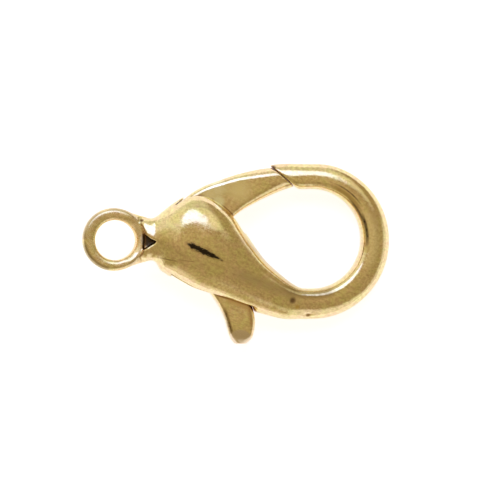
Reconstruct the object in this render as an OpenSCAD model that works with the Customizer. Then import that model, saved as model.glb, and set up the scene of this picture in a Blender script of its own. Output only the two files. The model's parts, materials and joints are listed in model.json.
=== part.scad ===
// Lobster clasp: a cast claw with an eyelet, and a sprung lever on a pin.
// It is drawn in its own plane, with the eyelet's centre at the origin, +X towards
// the hook and the pin along Z, and is laid on its back on the floor at the end.

/* [Eyelet] */
// Radius of the eyelet's hole
eyelet_bore_r = 1.35; // [1.1:0.05:1.5]
// Width of the eyelet's wall, from the hole to the rim
eyelet_wall = 0.8; // [0.7:0.05:1.0]
// Thickness of the eyelet
eyelet_t = 1.4; // [1.2:0.05:1.7]
// Rounding of the eyelet's edges
eyelet_round = 0.3; // [0.1:0.05:0.35]

/* [Claw] */
// Length from the eyelet's rim to the far end of the hook
claw_len = 16.75; // [15.6:0.1:18.0]
// Width of the bulb, from the lip to the belly
bulb_w = 6.1; // [5.8:0.1:6.6]
// Thickness of the bulb
bulb_t = 4.5; // [4.2:0.1:5.0]
// Radius of the eye inside the hook
eye_r = 3.4; // [3.2:0.05:3.6]
// How far the eye's centre lies above the eyelet's
eye_rise = 0.05; // [0:0.05:0.3]
// Width of the hook where it leaves the arm
hook_root_w = 2.15; // [1.9:0.05:2.4]
// Width of the hook at its far end
hook_end_w = 2; // [1.8:0.05:2.2]
// Width of the hook near its tip
hook_tip_w = 1.75; // [1.5:0.05:1.9]
// Thickness of the hook where it leaves the arm
hook_root_t = 2.5; // [2.2:0.05:2.8]
// Thickness of the hook at its tip
hook_tip_t = 1.9; // [1.8:0.05:2.2]
// Length of the pit in the nose, from the eyelet's rim
pit_len = 0.8; // [0.5:0.05:1.0]
// Width of the pit beside the eyelet
pit_w = 1.2; // [0.8:0.05:1.3]
// Height of the pit's floor above the middle of the thickness
pit_floor = 0.3; // [0.1:0.05:0.6]

/* [Lever] */
// Thickness of the lever
lever_t = 1.64; // [1.4:0.02:1.8]
// Clearance between each side of the lever and its cheek
slot_clear = 0.08; // [0.05:0.01:0.12]
// Angle that the lever turns to open
open_angle = 25; // [18:1:26]
// Gap between the lever's edges and the ends of the slot
end_clear = 0.2; // [0.15:0.05:0.3]
// Distance of the pin from the eyelet's rim
pin_from_rim = 3.95; // [3.7:0.05:4.2]
// Height of the pin above the eyelet's centre
pin_rise = 0.5; // [0.3:0.05:0.6]
// Width of the lever at its pin
hub_w = 4.4; // [4.1:0.1:4.5]
// Drop from the pin to the trigger's tip
trigger_drop = 7.7; // [7.2:0.1:8.4]
// How far the trigger's tip leans towards the hook
trigger_lean = 2.55; // [2.2:0.1:2.8]
// Rounding of the lever's edges
lever_round = 0.35; // [0.15:0.05:0.45]
// Gap between the gate and the hook's tip
gate_gap = 0.1; // [0.06:0.01:0.16]

/* [Pin and spring] */
// Radius of the pivot pin
pin_r = 0.45; // [0.35:0.05:0.55]
// Gap around the pin in the claw
pin_seat_gap = 0.01; // [0.01:0.01:0.03]
// Running clearance around the pin in the lever
pin_run_gap = 0.05; // [0.03:0.01:0.08]
// Wall left over the pin's blind end
pin_cover = 0.45; // [0.35:0.05:0.6]
// Sink of the pin's other end below the back of the bulb
pin_sink = 0.14; // [0.12:0.02:0.3]
// Room for the spring between the slot's end and the lever
spring_room = 0.5; // [0.45:0.05:0.6]
// Thickness of the spring's strip
spring_t = 0.14; // [0.1:0.02:0.16]
// Width of the spring's strip
spring_w = 1.2; // [0.8:0.1:1.3]
// Length of the spring's leaning leg
spring_leg = 2.4; // [2.0:0.1:2.6]

/* [Resting place] */
// How far the hook's end dips when the clasp lies on its back
rest_pitch = 5.6; // [4.5:0.1:6.5]
// How far the trigger's side dips
rest_roll = 0.4; // [0:0.1:1.5]

/* [Hidden] */
gold = [0.83, 0.68, 0.35];
steel = [0.72, 0.72, 0.72];
beyond = 20;

// Points round a section of the claw, round a corner of the lever's section, and
// steps from one row of a table to the next
claw_points = 28;
corner_points = 5;
claw_steps = 3;
lever_steps = 3;

eyelet_r = eyelet_bore_r + eyelet_wall;
eye = [eyelet_r + claw_len - hook_end_w - eye_r, eye_rise];
arm_drop = eye_r + hook_root_w / 2;
slot_w = lever_t + 2 * slot_clear;

// The claw's rows from the eyelet to the hook. X: centre, as a share of the way
// from the eyelet's rim to the eye's centre. Y: height over the eye's centre, as a
// share of the arm's drop. TURN: degrees from +X of the line from belly to lip.
// W and T: shares of the bulb's width and thickness. CREST: how far the crest lies
// from the middle towards the lip, as a share of half the width.
X = 0;
Y = 1;
TURN = 2;
W = 3;
T = 4;
CREST = 5;
CLAW_ROWS = [
    [-0.050, -0.01, 90, 0.45, 0.26, 0.00],
    [-0.010, -0.01, 90, 0.48, 0.54, 0.00],
    [ 0.025, -0.01, 89, 0.47, 0.58, 0.00],
    [ 0.060,  0.00, 87, 0.50, 0.62, 0.00],
    [ 0.100,  0.04, 80, 0.64, 0.73, 0.00],
    [ 0.155,  0.08, 73, 0.85, 0.88, 0.00],
    [ 0.215,  0.08, 70, 0.97, 0.96, 0.00],
    [ 0.280,  0.02, 67, 1.02, 0.99, 0.00],
    [ 0.345, -0.08, 64, 1.01, 1.00, 0.02],
    [ 0.410, -0.20, 63, 0.97, 0.98, 0.04],
    [ 0.480, -0.34, 64, 0.86, 0.93, 0.08],
    [ 0.565, -0.51, 65, 0.72, 0.84, 0.14],
    [ 0.660, -0.70, 65, 0.59, 0.74, 0.20],
    [ 0.775, -0.86, 67, 0.48, 0.64, 0.26],
    [ 0.865, -0.96, 73, 0.41, 0.58, 0.30],
];

// Superellipse exponents of a claw section, across and through
across_exponent = 2.4;
through_exponent = 2.6;

// Angles round the eye, from +X, between which the hook is an arc
hook_from_angle = -98;
hook_to_angle = 98;
hook_rows = 9;
hook_crest = 0.3;

// The mitre where the gate meets the hook: its place, its slope and its depth
mitre_reach = 2.0;
mitre_angle = -40;
mitre_depth = 2.15;
mitre = [eye[0] - mitre_reach, eye[1] + eye_r + hook_tip_w / 2];

// The lever's rows from the mitre to the pin and on to the trigger's tip. X and Y:
// centre from the pin, as shares of the way to the gate's end or to the trigger's
// tip. TURN: degrees from +X of the line from the outer to the inner edge. W and
// T: shares of the hub's width and of the lever's thickness. EDGE: rounding of the
// edges, as a share of the named one.
EDGE = 5;
GATE_ROWS = [
    [1.014, 0.983, -40, 0.46, 1.12, 2.4],
    [0.880, 0.940, -48, 0.46, 1.12, 2.3],
    [0.715, 0.865, -56, 0.48, 1.08, 1.9],
    [0.513, 0.758, -62, 0.53, 1.02, 1.5],
    [0.338, 0.642, -61, 0.58, 1.00, 1.2],
    [0.181, 0.508, -59, 0.67, 1.00, 1.0],
    [0.065, 0.321, -53, 0.83, 1.00, 1.0],
    [0.000, 0.083, -44, 1.00, 1.00, 1.0],
];
TRIGGER_ROWS = [
    [0.013, 0.102, -36, 0.98, 1.00, 1.0],
    [0.130, 0.243, -29, 0.93, 1.00, 1.0],
    [0.312, 0.381, -22, 0.86, 1.00, 1.0],
    [0.560, 0.505, -19, 0.76, 1.00, 1.0],
    [0.785, 0.620, -17, 0.65, 1.00, 1.0],
    [0.925, 0.722, -15, 0.55, 1.00, 1.0],
    [0.992, 0.805, -10, 0.46, 1.00, 1.0],
    [1.008, 0.870,  -6, 0.41, 0.97, 1.0],
    [1.015, 0.940,  -3, 0.33, 0.84, 1.0],
    [1.000, 0.990,   0, 0.18, 0.62, 1.0],
];
pin = [eyelet_r + pin_from_rim, pin_rise];
gate_end = mitre - gate_gap * [-sin(mitre_angle), cos(mitre_angle)];
gate_reach = gate_end - pin;
trigger_reach = [trigger_lean, -trigger_drop];

// Places a row of the claw's table: [x, y, turn, width, thickness, crest]
function claw_row(r) = [
    eyelet_r + r[X] * (eye[0] - eyelet_r),
    eye[1] + r[Y] * arm_drop,
    r[TURN], r[W] * bulb_w, r[T] * bulb_t, r[CREST]];

// The curve that passes a, b and c at 0, 0.5 and 1
function bow(a, b, c, k) =
    a * (1 - k) * (1 - 2 * k) + 4 * b * k * (1 - k) + c * k * (2 * k - 1);

// Places the hook's row that lies a share k of the way round its arc
function hook_row(k) =
    let (angle = hook_from_angle + (hook_to_angle - hook_from_angle) * k,
         w = bow(hook_root_w, hook_end_w, hook_tip_w, k),
         t = hook_root_t + (hook_tip_t - hook_root_t) * k,
         r = eye_r + w / 2)
    [eye[0] + r * cos(angle), eye[1] + r * sin(angle), angle + 180, w, t, hook_crest];

function claw_path() = concat(
    [for (r = CLAW_ROWS) claw_row(r)],
    [for (i = [0 : hook_rows]) hook_row(i / hook_rows)],
    [[mitre[0], mitre[1], 360 + mitre_angle, mitre_depth, hook_tip_t, hook_crest]]);

function lever_row(r, reach) = [
    pin[0] + r[X] * reach[0], pin[1] + r[Y] * reach[1],
    r[TURN], r[W] * hub_w, r[T] * lever_t, r[EDGE] * lever_round];

function lever_path() = concat(
    [for (r = GATE_ROWS) lever_row(r, gate_reach)],
    [for (r = TRIGGER_ROWS) lever_row(r, trigger_reach)]);

// A smooth curve through rows of numbers, row by row
function between(a, b, c, d, t) =
    0.5 * (2 * b + (c - a) * t + (2 * a - 5 * b + 4 * c - d) * t * t
        + (3 * b - a - 3 * c + d) * t * t * t);
function smooth(rows, steps) =
    let (last = len(rows) - 1)
    concat(
        [for (i = [0 : last - 1], s = [0 : steps - 1])
            between(rows[max(i - 1, 0)], rows[i], rows[i + 1],
                rows[min(i + 2, last)], s / steps)],
        [rows[last]]);

function heading(turn) = [cos(turn), sin(turn)];
function on_row(row, s, z) = [
    row[0] + s * cos(row[2]), row[1] + s * sin(row[2]), z];

// Points round a claw section: a superellipse across its row and through Z, with its
// crest moved towards the lip
function signed_power(v, e) = sign(v) * pow(abs(v), e);
function round_section(row) = [
    for (j = [0 : claw_points - 1])
        let (a = 360 * j / claw_points, p = signed_power(cos(a), 2 / across_exponent))
        on_row(row,
            row[3] / 2 * (p + row[CREST] * (1 - abs(p))),
            row[4] / 2 * signed_power(sin(a), 2 / through_exponent))];

// Points round a lever section: a rectangle with rounded corners
function slab_section(row) =
    let (r = min(row[EDGE], 0.48 * row[3], 0.48 * row[4]))
    [for (q = [0 : 3], k = [0 : corner_points - 1])
        let (a = 90 * q + 90 * k / (corner_points - 1),
             side = (q == 0 || q == 3) ? 1 : -1,
             face = q < 2 ? 1 : -1)
        on_row(row,
            side * (row[3] / 2 - r) + r * cos(a),
            face * (row[4] / 2 - r) + r * sin(a))];

// A closed solid through rings of points
module loft(rings) {
    n = len(rings[0]);
    last = len(rings) - 1;
    sides = [for (i = [0 : last - 1], j = [0 : n - 1])
        let (a = i * n + j, b = i * n + (j + 1) % n)
        each [[a, b + n, b], [a, a + n, b + n]]];
    start = [for (j = [1 : n - 2]) [0, j, j + 1]];
    end = [for (j = [1 : n - 2]) [last * n, last * n + j + 1, last * n + j]];
    polyhedron([for (r = rings) each r], concat(sides, start, end));
}

// A point of the lever's plane after the lever has turned by an angle
function swing(p, angle) =
    let (d = p - pin)
    pin + [d[0] * cos(angle) - d[1] * sin(angle), d[0] * sin(angle) + d[1] * cos(angle)];

// Where a lever row's outer (-1) or inner (1) edge lies, moved out by a gap
function edge(row, side, gap, angle) =
    swing([row[0], row[1]] + side * (row[3] / 2 + gap) * heading(row[2]), angle);

// The slot's front wall follows the inner edge of these lever rows at rest, then
// that of the open gate
FRONT_REST = [13, 12, 11, 10, 9, 8, 7];
FRONT_OPEN = [4, 3];

// The slot's back wall follows the outer edge. ROW: lever row. SWUNG: 1 where the
// open lever stands, 0 where the closed one does. ROOM: share of the spring's room
ROW = 0;
SWUNG = 1;
ROOM = 2;
BACK_WALL = [
    [ 6, 0, 0.0],
    [ 7, 0, 0.3],
    [ 8, 0, 1.0],
    [ 9, 1, 1.0],
    [10, 1, 1.0],
    [11, 1, 0.8],
    [12, 1, 0.3],
];

// Where the wall would lie for one row, and where it does: it runs straight beside
// the spring
SPRING_TOP = 2;
SPRING_FOOT = 4;
function wall_row(b) =
    edge(lever_path()[b[ROW]], -1, 0, -b[SWUNG] * open_angle)
        - [end_clear + b[ROOM] * spring_room, 0];
spring_wall = wall_row(BACK_WALL[SPRING_TOP])[0];
function back_wall(b) =
    let (p = wall_row(b))
    b[ROOM] < 1 ? p : [min(p[0], spring_wall), p[1]];

function slot_plan() =
    let (rows = lever_path(),
         front = [for (k = FRONT_REST) edge(rows[k], 1, end_clear, 0)],
         floor = [for (k = FRONT_OPEN) edge(rows[k], 1, end_clear, -open_angle)],
         back = [for (b = BACK_WALL) back_wall(b)],
         f = floor[len(floor) - 1],
         e = back[len(back) - 1])
    concat(front, floor,
        [[f[0], f[1] + bulb_w], [back[0][0], f[1] + bulb_w]],
        back,
        [[e[0], e[1] - bulb_w], [front[0][0], e[1] - bulb_w]]);

// Half of the eyelet's section: distance from its axis and height
function eyelet_profile() =
    let (c = eyelet_round, k = c * (1 - sqrt(0.5)), h = eyelet_t / 2,
         in = eyelet_bore_r, out = eyelet_r)
    [[in, -h + c], [in + k, -h + k], [in + c, -h],
     [out - c, -h], [out - k, -h + k], [out, -h + c],
     [out, h - c], [out - k, h - k], [out - c, h],
     [in + c, h], [in + k, h - k], [in, h - c]];

module eyelet() {
    rotate_extrude($fn = 96)
        polygon(eyelet_profile());
}

module slot() {
    translate([0, 0, -slot_w / 2])
        linear_extrude(slot_w)
            polygon(slot_plan());
}

// The three-cornered pit in the nose, its base just inside the eyelet's rim
pit_start = 0.15;
module pit() {
    translate([eyelet_r, 0, pit_floor])
        linear_extrude(bulb_t)
            polygon([[-pit_start, pit_w / 2], [-pit_start, -pit_w / 2], [pit_len, 0]]);
}

pin_back = bulb_t / 2 - pin_sink;
pin_front = bulb_t / 2 - pin_cover;

module claw() {
    color(gold)
    difference() {
        union() {
            loft([for (r = smooth(claw_path(), claw_steps)) round_section(r)]);
            eyelet();
        }
        slot();
        pit();
        translate([pin[0], pin[1], -beyond])
            cylinder(h = beyond + pin_front, r = pin_r + pin_seat_gap, $fn = 48);
    }
}

module lever() {
    color(gold)
    difference() {
        loft([for (r = smooth(lever_path(), lever_steps)) slab_section(r)]);
        translate([pin[0], pin[1], -beyond])
            cylinder(h = 2 * beyond, r = pin_r + pin_run_gap, $fn = 48);
    }
}

module pivot_pin() {
    color(gold)
    translate([pin[0], pin[1], -pin_back])
        cylinder(h = pin_back + pin_front - pin_seat_gap, r = pin_r, $fn = 48);
}

// A strip bent in a V: one leg stands along the straight part of the slot's back
// wall, the other leans towards the trigger's back and clears it by a small gap
spring_gap = 0.04;
spring_bend_r = 0.14;
spring_r = spring_bend_r + spring_t;
spring_rise = 0.1;
spring_at = [spring_wall + spring_gap + spring_r, pin[1] + spring_rise];
spring_stand = spring_at[1] - back_wall(BACK_WALL[SPRING_FOOT])[1];
LEVER_NEAR = [8, 10];
spring_clears = [
    for (k = [LEVER_NEAR[0] * lever_steps : LEVER_NEAR[1] * lever_steps])
        edge(smooth(lever_path(), lever_steps)[k], -1, spring_gap, 0) - spring_at];
spring_splay = min([
    for (p = spring_clears) atan2(p[1], p[0]) + acos(spring_r / norm(p))]);

// One face of the strip, at its radius in the bend, from leg to leg
bend_steps = 12;
function strip_face(r) = concat(
    [[-r, -spring_stand]],
    [for (i = [0 : bend_steps])
        r * heading(180 - (180 - spring_splay) * i / bend_steps)],
    [r * heading(spring_splay) + spring_leg * heading(spring_splay - 90)]);

module return_spring() {
    inside = strip_face(spring_bend_r);
    last = len(inside) - 1;
    color(steel)
    translate([spring_at[0], spring_at[1], -spring_w / 2])
        linear_extrude(spring_w)
            polygon(concat(strip_face(spring_r), [for (i = [last : -1 : 0]) inside[i]]));
}

// The room's X, Y and Z, seen in the clasp's own plane when it lies on the floor
room_x = [cos(rest_pitch), sin(rest_pitch) * sin(rest_roll), sin(rest_pitch) * cos(rest_roll)];
room_y = [0, cos(rest_roll), -sin(rest_roll)];
room_z = [-sin(rest_pitch), cos(rest_pitch) * sin(rest_roll), cos(rest_pitch) * cos(rest_roll)];

// How far the clasp reaches in a direction
outer_points = concat(
    [for (r = smooth(claw_path(), claw_steps)) each round_section(r)],
    [for (r = smooth(lever_path(), lever_steps)) each slab_section(r)]);
function reach(d) = max(concat(
    [for (p = outer_points) p * d],
    [for (p = eyelet_profile()) p[0] * norm([d[0], d[1]]) + p[1] * d[2]]));

// Lays the clasp on the floor, with the origin under the middle of its box
module laid() {
    translate([
        (reach(-room_x) - reach(room_x)) / 2,
        (reach(-room_y) - reach(room_y)) / 2,
        reach(-room_z)])
        rotate([rest_roll, rest_pitch, 0])
            children();
}

laid() claw();
laid() lever();
laid() pivot_pin();
laid() return_spring();
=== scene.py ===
"""A gold-plated lobster clasp lying on a pale floor, seen from straight above.

The claw and the lever are drawn as distance fields from tables of cross-sections,
so their joints and edges are softly rounded as in a casting. Lengths in the tables
and fields are in millimetres, in the clasp's own plane: the eyelet's centre is the
origin, +X runs to the hook, +Y to the gate and Z along the pin.
"""
import json
import math

import bmesh
import bpy
import numpy as np
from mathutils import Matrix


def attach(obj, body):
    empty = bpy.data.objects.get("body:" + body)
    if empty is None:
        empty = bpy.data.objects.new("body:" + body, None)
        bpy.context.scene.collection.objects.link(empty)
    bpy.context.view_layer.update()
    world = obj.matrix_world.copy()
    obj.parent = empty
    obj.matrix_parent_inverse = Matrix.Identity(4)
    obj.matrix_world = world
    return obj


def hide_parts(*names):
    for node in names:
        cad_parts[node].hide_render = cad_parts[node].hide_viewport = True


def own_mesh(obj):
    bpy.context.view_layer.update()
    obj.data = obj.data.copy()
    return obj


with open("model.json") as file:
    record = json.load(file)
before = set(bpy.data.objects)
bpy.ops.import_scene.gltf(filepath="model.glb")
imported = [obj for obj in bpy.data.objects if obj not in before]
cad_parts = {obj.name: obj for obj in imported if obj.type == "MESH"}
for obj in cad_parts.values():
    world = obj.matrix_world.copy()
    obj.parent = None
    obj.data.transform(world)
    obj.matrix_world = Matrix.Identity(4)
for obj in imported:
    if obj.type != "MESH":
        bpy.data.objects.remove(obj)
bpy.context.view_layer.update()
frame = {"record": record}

import openvdb

MM = 0.001
RECORD = frame["record"]
EYELET = next(m for m in RECORD["mounts"] if m["name"] == "eyelet")
LEVER_PIVOT = next(j for j in RECORD["behaviour"]["joints"] if j["name"] == "lever_pivot")

# A height past both faces of any piece, for cuts that go right through
THROUGH = 9

# The eyelet
EYELET_BORE_R = EYELET["dims"]["r_mm"]
EYELET_WALL = 0.8
EYELET_T = 1.4
EYELET_ROUND = 0.3
EYELET_R = EYELET_BORE_R + EYELET_WALL

# The claw: its length past the eyelet's rim, its bulb, the eye inside its hook, and
# the hook's width and thickness from its root to its tip
CLAW_LEN = 16.75
BULB_W = 6.1
BULB_T = 4.5
EYE_R = 3.4
EYE_RISE = 0.05
HOOK_ROOT_W = 2.15
HOOK_END_W = 2.0
HOOK_TIP_W = 1.75
HOOK_ROOT_T = 2.5
HOOK_TIP_T = 1.9
EYE = np.array([EYELET_R + CLAW_LEN - HOOK_END_W - EYE_R, EYE_RISE])
ARM_DROP = EYE_R + HOOK_ROOT_W / 2

# The mitre where the gate meets the hook: its place, its slope and its depth
MITRE_REACH = 2.0
MITRE_ANGLE = -40
MITRE_DEPTH = 2.3
MITRE = np.array([EYE[0] - MITRE_REACH, EYE[1] + EYE_R + HOOK_TIP_W / 2])

# The lever, how far it opens, and its clearances in the slot
LEVER_T = 1.64
HUB_W = 4.4
TRIGGER_DROP = 7.7
TRIGGER_LEAN = 2.55
LEVER_ROUND = 0.35
ROUND_LIMIT = 0.48
GATE_GAP = 0.02
OPEN_ANGLE = LEVER_PIVOT["range_deg"][1]
SLOT_CLEAR = 0.08
SLOT_W = LEVER_T + 2 * SLOT_CLEAR
END_CLEAR = 0.2
FRONT_CLEAR = 0.05

# The pin. Its profile is the radius and height of each ring, from the peened back
# end to the plain front end
PIN_R = 0.45
PIN_SEAT_GAP = 0.01
PIN_RUN_GAP = 0.05
PIN_COVER = 0.45
PIN_FROM_RIM = 3.95
PIN_RISE = 0.5
PIN = np.array([EYELET_R + PIN_FROM_RIM, PIN_RISE])
PIN_POINTS = 48
PIN_PROFILE = [(0.10, -2.11), (0.24, -2.10), (0.34, -2.08), (0.41, -2.04), (PIN_R, -1.97),
               (PIN_R, 1.76), (0.42, 1.79)]

# The return spring: a strip bent in a V. Its second leg splays by some degrees, and
# when the lever is open it keeps only a share of its depth
SPRING_ROOM = 0.5
SPRING_T = 0.14
SPRING_W = 1.2
SPRING_LEG = 2.4
SPRING_GAP = 0.04
SPRING_BEND_R = 0.14
SPRING_R = SPRING_BEND_R + SPRING_T / 2
SPRING_RISE = 0.1
SPRING_SPLAY = 17.3
SPRING_STEPS = 14
SPRING_EDGE = 0.02

# Superellipse exponents of a claw section, across and through
ACROSS_EXPONENT = 2.4
THROUGH_EXPONENT = 2.6

# Rows of the claw from the eyelet to the hook. Columns: the centre, as a share of the
# way from the eyelet's rim to the eye's centre and of the arm's drop; the direction
# from belly to lip; the width and thickness, as shares of the bulb's; and how far the
# crest lies towards the lip, as a share of half the width
CLAW_ROWS = np.array([
    [-0.050, -0.01, 90, 0.45, 0.26, 0.00],
    [-0.010, -0.01, 90, 0.48, 0.54, 0.00],
    [0.025, -0.01, 89, 0.47, 0.545, 0.00],
    [0.060, 0.00, 87, 0.50, 0.555, 0.00],
    [0.100, 0.04, 80, 0.64, 0.66, 0.00],
    [0.155, 0.08, 73, 0.85, 0.83, 0.00],
    [0.215, 0.08, 70, 0.97, 0.96, 0.00],
    [0.280, 0.02, 67, 1.02, 0.99, 0.00],
    [0.345, -0.08, 64, 1.01, 1.00, 0.02],
    [0.410, -0.20, 63, 0.97, 0.98, 0.04],
    [0.480, -0.34, 64, 0.86, 0.93, 0.08],
    [0.565, -0.51, 65, 0.72, 0.84, 0.14],
    [0.660, -0.70, 65, 0.59, 0.74, 0.20],
    [0.775, -0.86, 67, 0.48, 0.64, 0.30],
    [0.865, -0.96, 73, 0.41, 0.58, 0.38],
])

# The hook: the angles round the eye between which it is an arc, its rows, and its crest
# along the arc and at its root
HOOK_FROM_ANGLE = -98
HOOK_TO_ANGLE = 98
HOOK_ROWS = 9
HOOK_CREST = 0.3
ROOT_CREST = 0.45

# Rows of the lever from the mitre to the pin, and on to the trigger's tip. Columns:
# the centre from the pin, as shares of the way to the gate's end or to the trigger's
# tip; the direction from the outer to the inner edge; the width and thickness, as
# shares of the hub's width and of the lever's thickness; and the rounding of the
# edges, as a share of the named one
GATE_ROWS = np.array([
    [1.014, 0.983, -40, 0.46, 1.12, 2.4],
    [0.880, 0.940, -48, 0.46, 1.12, 2.3],
    [0.715, 0.865, -56, 0.48, 1.08, 1.9],
    [0.513, 0.758, -62, 0.53, 1.02, 1.5],
    [0.338, 0.642, -61, 0.58, 1.00, 1.2],
    [0.181, 0.508, -59, 0.67, 1.00, 1.0],
    [0.065, 0.321, -53, 0.83, 1.00, 1.0],
    [0.000, 0.083, -44, 1.00, 1.00, 1.0],
])
TRIGGER_ROWS = np.array([
    [0.013, 0.102, -36, 0.98, 1.00, 1.0],
    [0.130, 0.243, -29, 0.93, 1.00, 1.0],
    [0.312, 0.381, -22, 0.86, 1.00, 1.0],
    [0.560, 0.505, -19, 0.76, 1.00, 1.0],
    [0.785, 0.620, -17, 0.65, 1.00, 1.0],
    [0.925, 0.722, -15, 0.55, 1.00, 1.0],
    [0.992, 0.805, -10, 0.46, 1.00, 1.0],
    [1.008, 0.870, -6, 0.41, 0.97, 1.0],
    [1.015, 0.940, -3, 0.33, 0.84, 1.0],
    [1.000, 0.990, 0, 0.18, 0.62, 1.0],
])
GATE_END = MITRE - GATE_GAP * np.array([
    -math.sin(math.radians(MITRE_ANGLE)), math.cos(math.radians(MITRE_ANGLE))])
GATE_REACH = GATE_END - PIN
TRIGGER_REACH = np.array([TRIGGER_LEAN, -TRIGGER_DROP])

# Steps between two rows of a table, how many of them are averaged to each side, and the
# points round a section
ROW_STEPS = 16
ROW_REACH = 8
CLAW_POINTS = 256
LEVER_POINTS = 160

# The slot's front wall follows the inner edge of these lever rows at rest, and its
# floor that of the open gate
FRONT_REST = (13, 12, 11, 10, 9, 8, 7)
FRONT_OPEN = (4, 3)
# The slot's back wall follows the outer edge. Columns: the lever's row, 1 where the
# open lever stands and 0 where the closed one does, and the share of the spring's room
BACK_WALL = [(6, 0, -0.26), (7, 0, 0.2), (8, 0, 1.0), (9, 1, 1.0), (10, 1, 1.0),
             (11, 1, 0.8), (12, 1, 0.3)]
SPRING_TOP = 2
SPRING_FOOT = 4


def bow(a, b, c, k):
    """The curve that passes a, b and c at 0, 0.5 and 1."""
    return a * (1 - k) * (1 - 2 * k) + 4 * b * k * (1 - k) + c * k * (2 * k - 1)


def hook_row(k):
    """The hook's row that lies a share k of the way round its arc."""
    angle = HOOK_FROM_ANGLE + (HOOK_TO_ANGLE - HOOK_FROM_ANGLE) * k
    w = bow(HOOK_ROOT_W, HOOK_END_W, HOOK_TIP_W, k)
    t = HOOK_ROOT_T + (HOOK_TIP_T - HOOK_ROOT_T) * k
    r = EYE_R + w / 2
    a = math.radians(angle)
    crest = bow(ROOT_CREST, HOOK_CREST, HOOK_CREST, k)
    return [EYE[0] + r * math.cos(a), EYE[1] + r * math.sin(a), angle + 180, w, t, crest]


def claw_path():
    """The claw's rows in mm: x, y, direction, width, thickness and crest."""
    body = [[EYELET_R + x * (EYE[0] - EYELET_R), EYE[1] + y * ARM_DROP, turn,
             w * BULB_W, t * BULB_T, crest] for x, y, turn, w, t, crest in CLAW_ROWS]
    hook = [hook_row(i / HOOK_ROWS) for i in range(HOOK_ROWS + 1)]
    end = [[MITRE[0], MITRE[1], 360 + MITRE_ANGLE, MITRE_DEPTH, HOOK_TIP_T, HOOK_CREST]]
    return np.array(body + hook + end)


def lever_path():
    """The lever's rows in mm: x, y, direction, width, thickness and edge rounding."""
    def place(rows, reach):
        return [[PIN[0] + x * reach[0], PIN[1] + y * reach[1], turn, w * HUB_W,
                 t * LEVER_T, edge * LEVER_ROUND] for x, y, turn, w, t, edge in rows]
    return np.array(place(GATE_ROWS, GATE_REACH) + place(TRIGGER_ROWS, TRIGGER_REACH))


def through_rows(rows, steps):
    """A smooth curve through rows of numbers, row by row."""
    last = len(rows) - 1
    out = []
    for i in range(last):
        a, b, c, d = rows[max(i - 1, 0)], rows[i], rows[i + 1], rows[min(i + 2, last)]
        for t in np.arange(steps) / steps:
            out.append(0.5 * (2 * b + (c - a) * t + (2 * a - 5 * b + 4 * c - d) * t * t
                              + (3 * b - a - 3 * c + d) * t ** 3))
    out.append(rows[last])
    return np.array(out)


def evened(rows, reach):
    """Rows averaged with their neighbours, with both ends kept."""
    before = 2 * rows[0] - rows[reach:0:-1]
    after = 2 * rows[-1] - rows[-2:-2 - reach:-1]
    padded = np.concatenate([before, rows, after])
    weights = np.hanning(2 * reach + 3)[1:-1]
    weights /= weights.sum()
    return np.stack([np.convolve(padded[:, c], weights, "valid")
                     for c in range(rows.shape[1])], 1)


def smoothed(rows):
    """A table's rows with the steps between them, free of kinks."""
    return evened(through_rows(rows, ROW_STEPS), ROW_REACH)


def signed_power(v, e):
    """The power of a number's size, with its sign."""
    return np.sign(v) * np.abs(v) ** e


def section(x, y, turn, s, z):
    """Points of a section, from their places along its width and along Z."""
    turn = math.radians(turn)
    return np.stack([x + s * math.cos(turn), y + s * math.sin(turn), z], 1)


def round_ring(row, count):
    """Points round a claw section: a superellipse with its crest moved to the lip."""
    x, y, turn, width, thick, crest = row
    a = 2 * math.pi * np.arange(count) / count
    p = signed_power(np.cos(a), 2 / ACROSS_EXPONENT)
    s = width / 2 * (p + crest * (1 - np.abs(p)))
    z = thick / 2 * signed_power(np.sin(a), 2 / THROUGH_EXPONENT)
    return section(x, y, turn, s, z)


def slab_ring(row, count):
    """Points round a lever section: a rectangle with rounded corners."""
    x, y, turn, width, thick, rounding = row
    r = min(rounding, ROUND_LIMIT * width, ROUND_LIMIT * thick)
    per = count // 4
    s, z = [], []
    for q in range(4):
        a = np.radians(90 * q + 90 * np.arange(per) / (per - 1))
        side = 1 if q in (0, 3) else -1
        face = 1 if q < 2 else -1
        s.append(side * (width / 2 - r) + r * np.cos(a))
        z.append(face * (thick / 2 - r) + r * np.sin(a))
    return section(x, y, turn, np.concatenate(s), np.concatenate(z))


# How a field's surface is evened out: rounds, the steps of each that draw the points
# onto it, and the least squared slope that counts
RELAX_ROUNDS = 3
DRAW_STEPS = 2
LEAST_SLOPE = 0.1
TINY = 1e-9


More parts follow.
